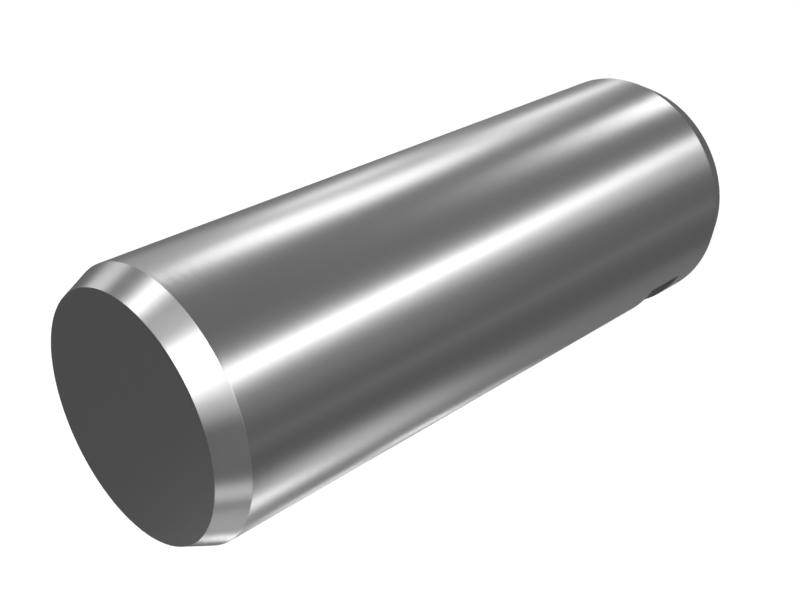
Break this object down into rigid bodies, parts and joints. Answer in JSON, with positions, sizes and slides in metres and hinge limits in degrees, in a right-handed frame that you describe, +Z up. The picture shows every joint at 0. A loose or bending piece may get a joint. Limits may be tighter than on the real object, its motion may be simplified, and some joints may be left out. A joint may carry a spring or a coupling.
{
  "type": "link pin",
  "caption": "Plain round steel link pin with bevelled ends and a keeper slot milled across one side near one end.",
  "frame": {"origin": "centre of the lower end face, at the end with the keeper slot, on which the pin stands", "axes": "+Z up the pin's axis, from the slotted end to the plain end; the keeper slot opens towards -X and runs along Y"},
  "size_m": [0.04, 0.04, 0.11],
  "materials": {
    "steel": "turned and ground, with a soft sheen"
  },
  "bodies": {
    "root": {"link_pin": "steel"}
  },
  "joints": []
}
